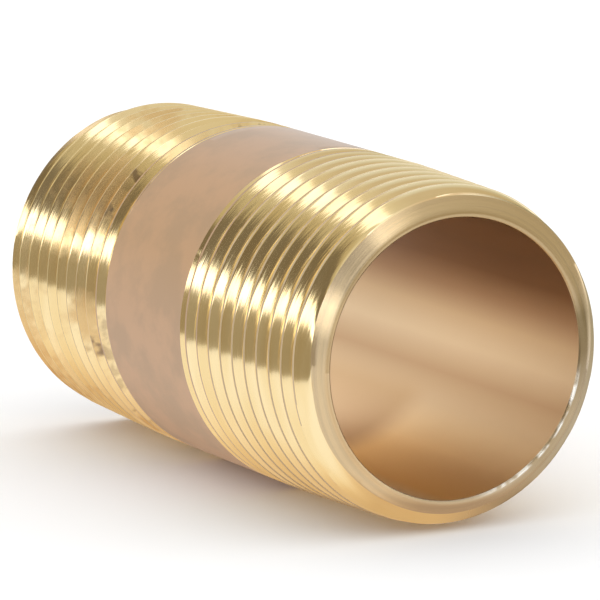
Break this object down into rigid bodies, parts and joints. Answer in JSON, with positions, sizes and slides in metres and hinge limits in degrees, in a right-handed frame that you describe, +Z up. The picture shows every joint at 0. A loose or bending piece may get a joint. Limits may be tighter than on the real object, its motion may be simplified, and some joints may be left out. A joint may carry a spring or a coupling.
{
  "type": "threaded pipe nipple",
  "caption": "Short brass pipe nipple, open right through, with a right-hand tapered pipe thread on each end and a plain brown band of uncut pipe between them.",
  "frame": {"origin": "on the pipe's axis, at mid-length", "axes": "+X along the pipe's axis towards the end that faces the viewer, +Z up; the pipe lies on its side, and its lowest line is at z = -0.01685"},
  "size_m": [0.0636, 0.0338, 0.0338],
  "materials": {
    "brass": "satin cut threads with a matt brown oxide skin on the uncut pipe"
  },
  "bodies": {
    "root": {"pipe_nipple": "brass"}
  },
  "joints": []
}
